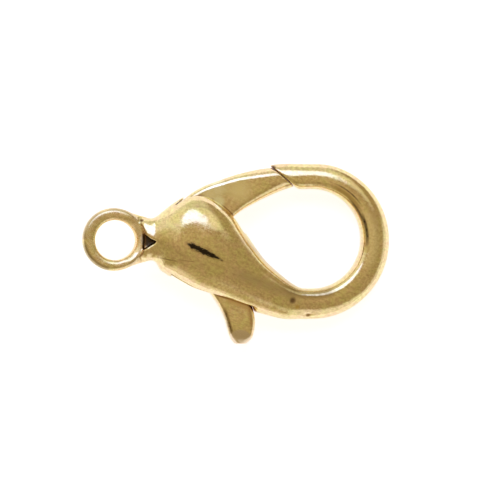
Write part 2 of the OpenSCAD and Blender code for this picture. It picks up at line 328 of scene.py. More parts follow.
class Field:
    """A box of voxels, with the place of each in the clasp's plane."""

    def __init__(self, low, high, voxel):
        self.voxel = voxel
        self.start = np.floor(np.array(low) / voxel).astype(int)
        self.count = np.ceil(np.array(high) / voxel).astype(int) - self.start + 1
        self.x, self.y, self.z = [
            ((self.start[i] + np.arange(self.count[i])) * voxel).astype(np.float32)
            for i in range(3)]
        self.x = self.x[:, None, None]
        self.y = self.y[None, :, None]
        self.z = self.z[None, None, :]

    def loft(self, rings, band):
        """The distance to a closed loft through rings of points."""
        n, m = len(rings), len(rings[0])
        points = np.concatenate([rings.reshape(-1, 3), rings[0].mean(0)[None],
                                 rings[-1].mean(0)[None]]).astype(np.float32)
        i, j = np.meshgrid(np.arange(n - 1), np.arange(m), indexing="ij")
        a, b = i * m + j, i * m + (j + 1) % m
        walls = np.stack([a, a + m, b + m, b], -1).reshape(-1, 4)
        j = np.arange(m)
        k = (j + 1) % m
        start = np.stack([np.full(m, n * m), j, k], 1)
        end = np.stack([np.full(m, n * m + 1), (n - 1) * m + k, (n - 1) * m + j], 1)
        walls = np.concatenate([walls[:, [0, 1, 2]], walls[:, [0, 2, 3]], start, end])
        grid = openvdb.FloatGrid.createLevelSetFromPolygons(
            points, triangles=walls.astype(np.uint32),
            transform=openvdb.createLinearTransform(voxelSize=self.voxel),
            halfWidth=band / self.voxel)
        out = np.empty(self.count, np.float32)
        grid.copyToArray(out, ijk=tuple(int(v) for v in self.start))
        return out

    def prism(self, outline, half=THROUGH):
        """The distance to a flat outline drawn through Z."""
        p = np.stack(np.broadcast_arrays(self.x[:, :, 0], self.y[:, :, 0]), -1)
        best = np.full(p.shape[:2], np.inf)
        inside = np.zeros(p.shape[:2], bool)
        for a, b in zip(outline, np.roll(outline, -1, 0)):
            ab, ap = b - a, p - a
            t = np.clip((ap @ ab) / (ab @ ab), 0, 1)
            best = np.minimum(best, np.linalg.norm(ap - t[..., None] * ab, axis=-1))
            crosses = (a[1] > p[..., 1]) != (b[1] > p[..., 1])
            at = a[0] + (p[..., 1] - a[1]) * ab[0] / (ab[1] or TINY)
            inside ^= crosses & (p[..., 0] < at)
        flat = np.where(inside, -best, best).astype(np.float32)[:, :, None]
        return np.maximum(flat, np.abs(self.z) - half)

    def disc(self, rim, height, rounding):
        """The distance to a flat disc with rounded edges."""
        u = np.hypot(self.x, self.y) - rim + rounding
        v = np.abs(self.z) - height / 2 + rounding
        outer = np.hypot(np.maximum(u, 0), np.maximum(v, 0))
        return outer + np.minimum(np.maximum(u, v), 0) - rounding

    def drill(self, at, radius, low=-THROUGH, high=THROUGH):
        """The distance to a round rod along Z."""
        side = np.hypot(self.x - at[0], self.y - at[1]) - radius
        return np.maximum(side, np.maximum(low - self.z, self.z - high))

    def ball(self, at, radii):
        """Roughly the distance to an ellipsoid along the axes."""
        q = np.sqrt(((self.x - at[0]) / radii[0]) ** 2 + ((self.y - at[1]) / radii[1]) ** 2
                    + ((self.z - at[2]) / radii[2]) ** 2)
        return (q - 1) * min(radii)

    def at(self, values, points):
        """Values between voxels, at points."""
        q = points / self.voxel - self.start
        i = np.clip(np.floor(q).astype(int), 0, self.count - 2)
        f = np.clip(q - i, 0, 1)
        out = 0
        for dx in (0, 1):
            for dy in (0, 1):
                for dz in (0, 1):
                    w = (np.where(dx, f[:, 0], 1 - f[:, 0]) * np.where(dy, f[:, 1], 1 - f[:, 1])
                         * np.where(dz, f[:, 2], 1 - f[:, 2]))
                    out = out + w * values[i[:, 0] + dx, i[:, 1] + dy, i[:, 2] + dz]
        return out

    def surface(self, values):
        """Points, quads and normals of the zero surface, with the points spread evenly
        and drawn onto it."""
        grid = openvdb.FloatGrid(float(values.max()))
        grid.copyFromArray(np.ascontiguousarray(values), ijk=tuple(int(v) for v in self.start))
        grid.transform = openvdb.createLinearTransform(voxelSize=self.voxel)
        points, quads = grid.convertToQuads(isovalue=0.0)
        points = points.astype(float)
        slope = np.gradient(values, self.voxel)
        for _ in range(RELAX_ROUNDS):
            points = relaxed(points, quads)
            for _ in range(DRAW_STEPS):
                d = self.at(values, points)
                n = np.stack([self.at(g, points) for g in slope], 1)
                points = points - (d / np.maximum((n * n).sum(1), LEAST_SLOPE))[:, None] * n
        return points, quads, n / np.linalg.norm(n, axis=1)[:, None]

    def top(self, values, at):
        """The height of the upper surface over a place."""
        i, j = [int(round(at[c] / self.voxel)) - self.start[c] for c in (0, 1)]
        return float(self.z.ravel()[np.nonzero(values[i, j] < 0)[0].max()])


def relaxed(points, quads, share=0.5):
    """Each point moved part of the way to the middle of the quads round it."""
    middle = points[quads].mean(1)
    total = np.zeros_like(points)
    count = np.zeros(len(points))
    for c in range(4):
        np.add.at(total, quads[:, c], middle)
        np.add.at(count, quads[:, c], 1)
    return points + share * (total / count[:, None] - points)


def smooth(v, low, high):
    """From 0 to 1 as v goes from low to high."""
    t = np.clip((v - low) / (high - low), 0, 1)
    return t * t * (3 - 2 * t)


def merge(a, b, k):
    """The union of two fields, with a fillet."""
    h = np.maximum(k - np.abs(a - b), 0) / k
    return np.minimum(a, b) - h * h * k / 4


def carve(a, b, k):
    """Field a without b, with the edge rounded off."""
    h = np.maximum(k - np.abs(a + b), 0) / k
    return np.maximum(a, -b) + h * h * k / 4


def blurred(values):
    """Each voxel averaged with its neighbours along X, Y and Z."""
    for axis in range(3):
        v = np.moveaxis(values, axis, 0)
        v[1:-1] = 0.25 * v[:-2] + 0.5 * v[1:-1] + 0.25 * v[2:]
    return values


def swing(p, angle):
    """A point turned about the pin."""
    a = math.radians(angle)
    d = p - PIN
    return PIN + np.array([d[0] * math.cos(a) - d[1] * math.sin(a),
                           d[0] * math.sin(a) + d[1] * math.cos(a)])


def lever_edge(row, side, gap, angle):
    """A point beside a lever row's edge, with the lever turned by an angle."""
    x, y, turn, width = row[:4]
    across = np.array([math.cos(math.radians(turn)), math.sin(math.radians(turn))])
    return swing(np.array([x, y]) + side * (width / 2 + gap) * across, angle)


def back_wall():
    """The slot's back wall, from top to foot. It runs straight beside the spring."""
    rows = lever_path()
    wall = np.array([
        lever_edge(rows[k], -1, 0, -swung * OPEN_ANGLE) - [END_CLEAR + room * SPRING_ROOM, 0]
        for k, swung, room in BACK_WALL])
    beside = wall[SPRING_TOP:SPRING_FOOT + 1]
    beside[:, 0] = np.minimum(beside[:, 0], beside[0, 0])
    return wall


def slot_outline():
    """The slot's front wall, its floor and its back wall."""
    rows = lever_path()
    front = [lever_edge(rows[k], 1, FRONT_CLEAR, 0) for k in FRONT_REST]
    floor = [lever_edge(rows[k], 1, END_CLEAR, -OPEN_ANGLE) for k in FRONT_OPEN]
    back = list(back_wall())
    f, e = floor[-1], back[-1]
    top = [np.array([f[0], f[1] + BULB_W]), np.array([back[0][0], f[1] + BULB_W])]
    bottom = [np.array([e[0], e[1] - BULB_W]), np.array([front[0][0], e[1] - BULB_W])]
    return np.array(front + floor + top + back + bottom)


def spring_place():
    """The middle of the spring's bend, and how far its foot lies below."""
    wall = back_wall()
    at = np.array([wall[SPRING_TOP][0] + SPRING_GAP + SPRING_BEND_R + SPRING_T,
                   PIN_RISE + SPRING_RISE])
    return at, at[1] - wall[SPRING_FOOT][1]


SPRING_AT, SPRING_STAND = spring_place()

# Voxel sizes, the box of voxels round the claw, the room round the lever, and how far
# from a loft's surface its distance is worked out
CLAW_VOXEL = 0.074
LEVER_VOXEL = 0.06
CLAW_BOX = ((-EYELET_R - 0.4, -5.6, -2.7), (EYELET_R + CLAW_LEN + 0.5, 5.6, 2.7))
LEVER_ROOM = 0.4
BAND = 1.0

# The nose: two sloping faces that meet in a ridge, which is level up to NOSE_FLAT and
# then rises, and a wall round the eyelet
NOSE_RIDGE = 1.17
NOSE_SLOPE = 0.24
NOSE_FLAT = 2.75
NOSE_RISE = 0.9
NOSE_ROUND = 0.3
NOSE_WALL_R = 2.03
NOSE_WALL_ROUND = 0.06
# The fillet between nose and ring, and the heights between which it shrinks
ROOT_FILLET = 0.95
FACE_FILLET = 0.06
FILLET_SHRINKS = (0.25, 0.6)

# The pit in the nose: its floor's height, its start inside the ring's rim, its reach
# past it, its half height and how far it lies below the middle line, and its waist,
# as shares of the reach and of the half height
PIT_FLOOR = 0.3
PIT_START = 0.15
PIT_REACH = 0.74
PIT_HALF = 0.57
PIT_DROP = 0.15
PIT_WAIST = 0.45
PIT_WAIST_UP = 0.3
PIT_WAIST_DOWN = 0.42

# The ring's hole lies off its centre, and its edge is worn wide towards the nose
BORE_AT = (0.07, -0.05)
BORE_ROUND = 0.35
BORE_WORN = 0.60
BORE_WORN_FROM = (0.6, 1.6)

# Roundings of the cut edges
RIM_ROUND = 0.16
PIT_ROUND = 0.1
CASTING_PIT_ROUND = 0.08
PIN_HOLE_ROUND = 0.08
LEVER_BORE_ROUND = 0.05

# Pits left by the casting: place, length, width and depth
CASTING_PITS = [
    (12.13, -4.15, 0.15, 0.15, 0.05),
    (13.22, -5.14, 0.24, 0.12, 0.05),
]


def nose_pit(field, nose_wall):
    """The arrowhead-shaped pit where the nose meets the ring."""
    start, waist = EYELET_R - PIT_START, EYELET_R + PIT_WAIST * PIT_REACH
    corners = np.array([[start, PIT_HALF],
                        [waist, PIT_WAIST_UP * PIT_HALF],
                        [EYELET_R + PIT_REACH, 0],
                        [waist, -PIT_WAIST_DOWN * PIT_HALF],
                        [start, -PIT_HALF]]) - [0, PIT_DROP]
    pit = np.maximum(field.prism(corners), PIT_FLOOR - field.z)
    return np.maximum(pit, -nose_wall)


def claw_body():
    """The claw's field: the loft, the nose, the ring, the slot, the pits and the pin's hole."""
    field = Field(*CLAW_BOX, CLAW_VOXEL)
    rings = np.array([round_ring(r, CLAW_POINTS) for r in smoothed(claw_path())])
    body = field.loft(rings, BAND)
    ridge = NOSE_RIDGE + NOSE_RISE * np.maximum(field.x - NOSE_FLAT, 0)
    roof = np.abs(field.z) + np.abs(field.y) * NOSE_SLOPE - ridge
    body = carve(body, -roof, NOSE_ROUND)
    nose_wall = field.drill((0, 0), NOSE_WALL_R)
    body = carve(body, nose_wall, NOSE_WALL_ROUND)
    fillet = ROOT_FILLET + (FACE_FILLET - ROOT_FILLET) * smooth(np.abs(field.z), *FILLET_SHRINKS)
    body = merge(body, field.disc(EYELET_R, EYELET_T, EYELET_ROUND), fillet)
    rounding = BORE_ROUND + BORE_WORN * smooth(field.x, *BORE_WORN_FROM)
    body = carve(body, field.drill(BORE_AT, EYELET_BORE_R), rounding)
    body = carve(body, field.prism(slot_outline(), SLOT_W / 2), RIM_ROUND)
    body = carve(body, nose_pit(field, nose_wall), PIT_ROUND)
    for x, y, long, wide, deep in CASTING_PITS:
        pit = field.ball((x, y, field.top(body, (x, y))), (long, wide, deep))
        body = carve(body, pit, CASTING_PIT_ROUND)
    pin_hole = field.drill(PIN, PIN_R + PIN_SEAT_GAP, high=BULB_T / 2 - PIN_COVER)
    body = carve(body, pin_hole, PIN_HOLE_ROUND)
    return field, blurred(body)


def lever_body():
    """The lever's field: the loft and the pin's bore."""
    rings = np.array([slab_ring(r, LEVER_POINTS) for r in smoothed(lever_path())])
    points = rings.reshape(-1, 3)
    field = Field(points.min(0) - LEVER_ROOM, points.max(0) + LEVER_ROOM, LEVER_VOXEL)
    body = field.loft(rings, BAND)
    body = carve(body, field.drill(PIN, PIN_R + PIN_RUN_GAP), LEVER_BORE_ROUND)
    return field, blurred(body)


# How far out a crevice is felt for, how near the other casting counts as a seam, and
# the angle from which an edge of the pin or the spring is sharp
CREVICE_REACHES = (0.2, 0.45)
SEAM_REACH = 0.22
SHARP_ANGLE = 35


def laid_down():
    """The turn and shift that lay the clasp's plane in the room, from the eyelet's mount."""
    z = np.array(EYELET["axis"], float)
    z /= np.linalg.norm(z)
    x = np.array([z[2], 0, -z[0]])
    x /= np.linalg.norm(x)
    y = np.cross(z, x)
    return np.stack([x, y, z], 1), np.array(EYELET["pos_m"], float)


TURN, SHIFT = laid_down()


def to_room(points):
    """Places in the clasp's plane, as places in the room in metres."""
    return (np.asarray(points) @ TURN.T) * MM + SHIFT


def crevices(points, normals, bodies):
    """From 0 on an open surface to 1 deep in a crevice."""
    shut = 0
    for reach in CREVICE_REACHES:
        seen = points + reach * normals
        clear = np.min([field.at(values, seen) for field, values in bodies], axis=0)
        shut = shut + np.clip(1 - clear / reach, 0, 1) / len(CREVICE_REACHES)
    return shut


def casting(name, body, other):
    """The mesh of a field. It carries each point's place in the clasp's plane, how deep
    it lies in a crevice and how near it is to the other casting, for the material."""
    field, values = body
    points, quads, normals = field.surface(values)
    obj = new_mesh(name, points, quads)
    shut = crevices(points, normals, (body, other))
    seam = np.clip(1 - other[0].at(other[1], points) / SEAM_REACH, 0, 1)
    for key, kind, part, numbers in (("place", "FLOAT_VECTOR", "vector", points),
                                     ("crevice", "FLOAT", "value", shut),
                                     ("seam", "FLOAT", "value", seam)):
        layer = obj.data.attributes.new(key, kind, "POINT")
        layer.data.foreach_set(part, numbers.ravel().astype(np.float32))
    return obj


def in_scene(name, data):
    """An object that shows a mesh or camera."""
    obj = bpy.data.objects.new(name, data)
    bpy.context.scene.collection.objects.link(obj)
    return obj


def new_mesh(name, points, quads):
    """A smooth mesh of quads."""
    mesh = bpy.data.meshes.new(name)
    mesh.vertices.add(len(points))
    mesh.vertices.foreach_set("co", to_room(points).ravel().astype(np.float32))
    mesh.loops.add(quads.size)
    mesh.loops.foreach_set("vertex_index", quads.ravel().astype(np.int32))
    mesh.polygons.add(len(quads))
    mesh.polygons.foreach_set("loop_start", np.arange(0, quads.size, 4, dtype=np.int32))
    mesh.polygons.foreach_set("use_smooth", np.ones(len(quads), bool))
    mesh.update(calc_edges=True)
    mesh.validate()
    return in_scene(name, mesh)


def closed_rings(name, rings, caps):
    """A solid through rings of points, closed at both ends by faces of ring indices."""
    n, m = len(rings), len(rings[0])
    faces = [(i * m + j, i * m + (j + 1) % m, (i + 1) * m + (j + 1) % m, (i + 1) * m + j)
             for i in range(n - 1) for j in range(m)]
    faces += [face for cap in caps for face in (cap[::-1], [k + (n - 1) * m for k in cap])]
    mesh = bpy.data.meshes.new(name)
    mesh.from_pydata(to_room(np.concatenate(rings)).tolist(), [], [list(f) for f in faces])
    shape = bmesh.new()
    shape.from_mesh(mesh)
    bmesh.ops.recalc_face_normals(shape, faces=shape.faces)
    shape.to_mesh(mesh)
    shape.free()
    mesh.shade_smooth()
    mesh.set_sharp_from_angle(angle=math.radians(SHARP_ANGLE))
    return in_scene(name, mesh)


def rivet():
    """The pin: a plain front end in the blind hole and a peened back end."""
    a = 2 * math.pi * np.arange(PIN_POINTS) / PIN_POINTS
    rings = [np.stack([PIN[0] + r * np.cos(a), PIN[1] + r * np.sin(a), np.full(PIN_POINTS, z)], 1)
             for r, z in PIN_PROFILE]
    return closed_rings("pivot_rivet", rings, [list(range(PIN_POINTS))])


def bent_strip():
    """The return spring: one leg on the slot's back wall, one leaning on the lever."""
    bend = np.radians(np.linspace(180, SPRING_SPLAY, SPRING_STEPS))
    out = [np.array([math.cos(b), math.sin(b)]) for b in bend]
    path = [SPRING_AT + SPRING_R * o for o in out]
    lean = np.array([out[-1][1], -out[-1][0]])
    path = [path[0] - [0, SPRING_STAND]] + path + [path[-1] + SPRING_LEG * lean]
    out = [out[0]] + out + [out[-1]]
    t, w, c = SPRING_T / 2, SPRING_W / 2, SPRING_EDGE
    corners = [(t - c, w), (t, w - c), (t, c - w), (t - c, -w),
               (c - t, -w), (-t, c - w), (-t, w - c), (c - t, w)]
    rings = [np.array([[*(p + s * o), z] for s, z in corners]) for p, o in zip(path, out)]
    return closed_rings("spring_strip", rings, [[0, 1, 2, 3], [0, 3, 4, 7], [4, 5, 6, 7]])


claw_field, lever_field = claw_body(), lever_body()
claw = casting("claw_casting", claw_field, lever_field)
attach(claw, "claw")
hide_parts("claw")
lever = casting("lever_casting", lever_field, claw_field)
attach(lever, "lever")
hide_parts("lever")
pin = rivet()
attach(pin, "claw")
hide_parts("pivot_pin")
spring = bent_strip()
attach(spring, "claw")
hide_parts("return_spring")
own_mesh(spring)

# Colours
GOLD = (0.95, 0.76, 0.43)
GOLD_OLIVE = (0.90, 0.79, 0.37)
GOLD_RED = (0.90, 0.68, 0.40)
GOLD_PINK = (1.0, 0.93, 1.0)
BROWN = (0.42, 0.28, 0.13)
SOIL_AND_SHADE = (0.30, 0.15, 0.05)
RUST_AND_SHADE = (0.58, 0.30, 0.11)
STREAK_DARK = (0.035, 0.022, 0.010)
PIN_TINT = (0.90, 0.72, 0.42)
PIN_WEAR = (0.72, 0.56, 0.36)
STEEL = (0.55, 0.55, 0.56)
STEEL_WEAR = (0.36, 0.33, 0.30)
PIT_SHADE = (0.10, 0.07, 0.045)
LINE_BROWN = (0.16, 0.09, 0.04)

# A noise is named by its scale, detail and roughness. An edge is the value where a ramp
# starts, the value where it is full and, if they aren't 0 and 1, what it goes from and to
GRAIN_NOISE = (5.5, 3.0, 0.65)
GRAIN_BROWN = (0.62, 0.35, 0.0, 0.32)
GRAIN_ROUGH = (0.3, 0.75, -0.04, 0.08)
STROKE_ANGLE = -24
BRUSH_LENGTHS = (2.5, 0.45, 0.5)
BRUSH_NOISE = (3.2, 2.0, 0.6)
BRUSH_BROWN = (0.48, 0.72, 0.0, 0.30)
WAVE_NOISE = (0.75, 1.0, 0.5)
WAVE_HEIGHT = 0.00003
BRUSH_HEIGHT = 0.000003
GRAIN_HEIGHT = 0.000004
# The front faces, by their height over the clasp's middle
FRONT_EDGE = (0.1, 0.4)
# Patches of the plating, each laid over those before it: a noise's scale, detail and
# roughness, its value where the patch starts and is full, and the patch's colour
GOLD_PATCHES = [
    (0.8, 3.0, 0.6, 0.35, 0.65, GOLD, "MIX"),
    (2.6, 2.0, 0.6, 0.38, 0.62, GOLD_PINK, "MULTIPLY"),
    (1.7, 2.0, 0.5, 0.52, 0.72, GOLD_RED, "MIX"),
]
# Soil, rust and painted shade in the crevices and along the seam between the castings:
# what the mesh carries, how ragged the grain makes it, its edge and its colour. The slot's open
# end is clean
SOIL_AND_SHADE_MARKS = [
    ("crevice", 0.15, (0.55, 0.95), SOIL_AND_SHADE),
    ("seam", 0.2, (0.5, 1.1, 0.0, 0.7), RUST_AND_SHADE),
]
SLOT_END = (4.30, 2.45, 0)
CLEAN_EDGE = (0.5, 1.0)

# The streak on the bulb, bulging between two shares of its length and pointed at its
# ends, and the edges of its dark core and of its fringe, in mm inside its outline
STREAK_FROM = (4.84, -0.27)
STREAK_TO = (7.28, -1.42)
STREAK_HALF = 0.20
STREAK_BULGE = (0.05, 0.85, 0.26, 0.50)
STREAK_ENDS = ((0.95, 1.15, 0.0, 0.3), (0.0, -0.2, 0.0, 0.3))
STREAK_STROKES = (1.0, 0.2, 1.0)
STREAK_NOISE = (3.2, 3.0, 0.7)
STREAK_RAGGED = 0.5
STREAK_CORE = (-0.03, 0.08)
STREAK_FRINGE = (-0.22, 0.1)
FRINGE_SHARE = 0.55
# The painted shade in the nose's pit: its place, radius and softness, and its edge in height
PIT_SHADE_SPOT = ((EYELET_R + 0.25, 0, 0.6), 0.6, 0.2)
PIT_SHADE_EDGE = (NOSE_RIDGE - 0.1, NOSE_RIDGE - 0.35)
# The eyelet, by the distance from its centre, and how much rougher it and the marks are
EYELET_EDGE = (EYELET_R - 0.05, EYELET_R + 0.2, 1.0, 0.0)
EYELET_ROUGHER = 0.12
MARKS_ROUGHER = 0.35

# Arcs and lines of stain, painted light and painted shade: the share of the half width
# that is full, how their ends fade, in degrees for an arc and in shares of a line's
# length, and how the grain makes them patchy
ARC_CORE = 0.2
ARC_ENDS = (16, 12)
ARC_PATCHY = (0.35, 0.65)
ARC_FAINTEST = 0.6
LINE_CORE = 0.1
LINE_ENDS = (0.1, 0.9, 0.2, 0.2)
LINE_PATCHY = (0.38, 0.60, 0.5, 1.0)
RING = (0, 0)
# Arcs of stain, painted light and painted shade: centre, radius, half width, angles from and to,
# strength and colour
ARCS_OF_STAIN_AND_LIGHT = [
    # Painted shade on the hook's face next to its root
    (EYE, 3.82, 0.45, -120, -68, 0.95, (0.42, 0.30, 0.14)),
    # Stains and tone round the hook
    (EYE, 4.25, 0.55, -26, 26, 0.90, (1.00, 0.84, 0.52)),
    (EYE, 4.60, 0.60, 14, 57, 0.60, (0.74, 0.53, 0.28)),
    (EYE, 4.45, 0.40, 78, 100, 0.60, (0.80, 0.54, 0.28)),
    (EYE, 3.80, 0.32, 34, 66, 0.80, (0.60, 0.40, 0.14)),
    (EYE, 4.07, 0.08, 38, 64, 0.90, LINE_BROWN),
    (EYE, 3.68, 0.11, 20, 44, 0.90, LINE_BROWN),
    (EYE, 3.78, 0.14, -4, 24, 1.00, (0.05, 0.03, 0.015)),
    # On the eyelet: painted shade where it meets the nose, a painted highlight on its face beside
    # it, browner tone on its upper left, and painted shade round its outer rim in place of a
    # bright rim reflection
    (RING, 2.12, 0.10, -34, 34, 0.95, (0.30, 0.13, 0.05)),
    (RING, 1.74, 0.30, -40, 40, 0.95, (1.00, 0.80, 0.54)),
    (RING, 1.85, 0.50, 110, 180, 0.45, (0.62, 0.45, 0.26)),
    (RING, 2.07, 0.26, -172, -100, 1.00, (0.40, 0.30, 0.17)),
    (RING, 2.10, 0.20, 120, 180, 0.80, (0.45, 0.33, 0.19)),
    (RING, 2.02, 0.20, -60, -38, 0.75, (0.60, 0.47, 0.30)),
    (RING, 2.05, 0.20, 38, 100, 0.80, (0.60, 0.46, 0.28)),
]
# Spots of stain, painted highlight and painted shade: place, radius, softness and colour
SPOTS_OF_STAIN_AND_LIGHT = {
    "gold_plate": [
        ((12.45, -4.57, 1.1), 0.16, 0.22, (0.75, 0.52, 0.16)),
        ((12.13, -4.15, 1.15), 0.22, 0.24, (0.24, 0.15, 0.08)),
        ((13.22, -5.14, 0.8), 0.14, 0.14, (0.34, 0.20, 0.08)),
        ((1.84, 1.37, 0.65), 0.17, 0.12, (0.14, 0.07, 0.03)),
        ((10.76, 4.88, 0.6), 0.26, 0.24, (0.14, 0.07, 0.04)),
        # Painted shade in the crevice between the cheek and the trigger
        ((9.75, -4.85, 0), 0.42, 0.30, (0.45, 0.20, 0.08)),
        # A painted highlight on the cheek beside the gate
        ((7.19, 2.35, 1.15), 0.40, 0.30, (1.00, 0.96, 0.72)),
    ],
    "gold_plate_lever": [
        ((8.58, -7.05, 0.8), 0.90, 0.14, (0.78, 0.62, 0.44)),
        # Painted highlights on the gate beside the cheek's rim
        ((8.50, 3.40, 0.8), 0.70, 1.20, (0.98, 0.84, 0.50)),
        ((7.05, 3.50, 0.8), 0.50, 0.70, (1.00, 0.90, 0.62)),
        ((6.45, 3.05, 0.8), 0.40, 0.60, (1.00, 0.88, 0.58)),
        ((7.10, 2.58, 0.8), 0.38, 0.36, (1.00, 0.94, 0.64)),
        # Painted shade in the crevice between the trigger and the cheek
        ((9.45, -4.65, 0), 0.45, 0.40, (0.50, 0.22, 0.09)),
        # A painted shadow under the gate's tip
        ((11.90, 3.52, 0.8), 0.22, 0.25, (0.35, 0.20, 0.10)),
    ],
}
# Lines of stain and painted shade: their two ends, half width, strength and colour
LINES_OF_STAIN_AND_SHADE = {
    "gold_plate": [
        # A painted brown reflection where the nose meets the eyelet
        ((1.98, 0.85), (2.12, -0.80), 0.20, 0.90, (0.44, 0.25, 0.09)),
        # Darker bands along the arm
        ((7.60, -2.05), (13.2, -4.20), 0.60, 0.55, (0.52, 0.40, 0.25)),
        ((8.10, 0.55), (12.9, -3.72), 0.34, 0.95, (0.60, 0.46, 0.27)),
        # Dashes of dirt along the belly
        ((2.90, -1.22), (4.30, -1.50), 0.07, 0.80, (0.36, 0.24, 0.10)),
        ((4.10, -1.36), (5.50, -1.52), 0.05, 0.60, (0.36, 0.24, 0.10)),
        # A painted shade line along the lower edge of the reflection beside the bulb's highlight
        ((2.80, 0.16), (4.40, 0.90), 0.12, 0.55, (0.60, 0.45, 0.20)),
        # A pinker band along the belly's edge
        ((3.60, -2.15), (8.60, -4.55), 0.25, 0.25, (0.95, 0.70, 0.50)),
    ],
    "gold_plate_lever": [
        # Painted shade along the trigger's two edges, in place of bevels
        ((7.46, -4.55), (8.10, -6.70), 0.21, 1.00, (0.20, 0.11, 0.04)),
        ((9.20, -4.50), (9.42, -6.00), 0.26, 0.75, (0.62, 0.36, 0.18)),
        # A painted shadow along the trigger's top, under the cheek
        ((7.50, -4.05), (9.60, -4.85), 0.26, 0.70, (0.70, 0.42, 0.20)),
        # A brown line along the gate's top edge
        ((5.40, 2.95), (8.20, 4.20), 0.10, 0.50, (0.50, 0.36, 0.16)),
    ],
}

# Drawn wire and strip, in metres
DRAWN_LENGTHS = (1, 1, 6)
DRAWN_NOISE = (9000, 3.0, 0.6)
DRAWN_ROUGH = (0.3, 0.7, -0.05, 0.1)
DULL_NOISE = (1800, 3.0, 0.6)
DULL_EDGE = (0.4, 0.65)

# Roughnesses
CLAW_ROUGHNESS = 0.13
LEVER_ROUGHNESS = 0.17
PIN_ROUGHNESS = 0.2
STEEL_ROUGHNESS = 0.32


def node_in(tree, kind, *values, **settings):
    """A node with its settings, and its inputs linked or set in order."""
    node = tree.nodes.new(kind)
    for key, value in settings.items():
        setattr(node, key, value)
    for socket, value in zip(node.inputs, values):
        if isinstance(value, bpy.types.NodeSocket):
            tree.links.new(value, socket)
        elif value is not None:
            socket.default_value = value
    return node


def maths(tree, operation, *values):
    """A number worked out by a math node."""
    return node_in(tree, "ShaderNodeMath", *values, operation=operation).outputs[0]


def plus(tree, a, b):
    return maths(tree, "ADD", a, b)


def minus(tree, a, b):
    return maths(tree, "SUBTRACT", a, b)


def times(tree, a, b):
    return maths(tree, "MULTIPLY", a, b)


def ramp(tree, value, low, high, start=0.0, end=1.0):
    """From start to end, smoothly, as value goes from low to high."""
    node = node_in(tree, "ShaderNodeMapRange", value, low, high, start, end,
                   interpolation_type="SMOOTHSTEP")
    return node.outputs[0]


def window(tree, value, low, high, soft_low, soft_high):
    """1 between two soft edges, 0 outside them."""
    return times(tree, ramp(tree, value, low - soft_low / 2, low + soft_low / 2),
                 ramp(tree, value, high - soft_high / 2, high + soft_high / 2, 1.0, 0.0))


def mixed(tree, share, a, b, blend="MIX"):
    """Colour a mixed towards b, by a share."""
    node = tree.nodes.new("ShaderNodeMix")
    node.data_type = "RGBA"
    node.blend_type = blend
    for name, value in (("Factor_Float", share), ("A_Color", a), ("B_Color", b)):
        socket = next(x for x in node.inputs if x.identifier == name)
        if isinstance(value, bpy.types.NodeSocket):
            tree.links.new(value, socket)
        elif name == "Factor_Float":
            socket.default_value = value
        else:
            socket.default_value = (*value, 1)
    return next(x for x in node.outputs if x.identifier == "Result_Color")


def between(tree, a, b, operation):
    """A sum or difference of vectors, or a number worked out from them."""
    node = node_in(tree, "ShaderNodeVectorMath", a, b, operation=operation)
    return node.outputs["Vector" if operation in ("ADD", "SUBTRACT") else "Value"]


def noise(tree, where, scale, detail, rough):
    """A noise's value at a place."""
    return node_in(tree, "ShaderNodeTexNoise", where, None, scale, detail, rough).outputs["Fac"]


def drawn_out(tree, where, angle, lengths):
    """A place in a grain that is drawn out along an angle."""
    node = node_in(tree, "ShaderNodeMapping", where, vector_type="TEXTURE")
    node.inputs["Rotation"].default_value = (0, 0, math.radians(angle))
    node.inputs["Scale"].default_value = lengths
    return node.outputs["Vector"]


def beside_line(tree, place, start, end):
    """The share of the way along a line, and the distance to its side in mm."""
    start, end = np.array(start), np.array(end)
    long = np.linalg.norm(end - start)
    along = (end - start) / long
    from_start = between(tree, place, (*start, 0), "SUBTRACT")
    share = between(tree, from_start, (*(along / long), 0), "DOT_PRODUCT")
    aside = between(tree, from_start, (-along[1], along[0], 0), "DOT_PRODUCT")
    return share, maths(tree, "ABSOLUTE", aside)


def dark_streak(tree, place, front):
    """The ragged dark streak on the bulb, and its brown fringe."""
    share, aside = beside_line(tree, place, STREAK_FROM, STREAK_TO)
    half = times(tree, STREAK_HALF, window(tree, share, *STREAK_BULGE))
    for end in STREAK_ENDS:
        half = minus(tree, half, ramp(tree, share, *end))
    strokes = noise(tree, drawn_out(tree, place, STROKE_ANGLE, STREAK_STROKES), *STREAK_NOISE)
    ragged = times(tree, minus(tree, strokes, 0.5), STREAK_RAGGED)
    depth = plus(tree, minus(tree, half, aside), ragged)
    return [times(tree, ramp(tree, depth, *edge), front) for edge in (STREAK_CORE, STREAK_FRINGE)]


def arc_line(tree, place, centre, radius, half, start, end):
    """1 on part of a circle's line, fading out to both sides and at both ends."""
    out = between(tree, place, (*centre, 0), "SUBTRACT")
    x, y, _ = node_in(tree, "ShaderNodeSeparateXYZ", out).outputs
    angle = maths(tree, "DEGREES", maths(tree, "ARCTAN2", y, x))
    level = node_in(tree, "ShaderNodeCombineXYZ", x, y, 0.0).outputs[0]
    off = maths(tree, "ABSOLUTE", minus(tree, between(tree, level, None, "LENGTH"), radius))
    return times(tree, ramp(tree, off, ARC_CORE * half, half, 1.0, 0.0),
                 window(tree, angle, start, end, *ARC_ENDS))


def spot(tree, place, at, radius, soft):
    """1 inside a round spot, 0 outside it."""
    away = between(tree, place, at, "DISTANCE")
    return ramp(tree, away, radius - soft / 2, radius + soft / 2, 1.0, 0.0)


def metal(name):
    """A new material, its node tree and its shader."""
    mat = bpy.data.materials.new(name)
    mat.use_nodes = True
    shader = mat.node_tree.nodes["Principled BSDF"]
    shader.inputs["Metallic"].default_value = 1
    return mat, mat.node_tree, shader


def carried(tree, name, part="Fac"):
    """What the mesh carries at each point under a name."""
    return node_in(tree, "ShaderNodeAttribute", attribute_name=name).outputs[part]


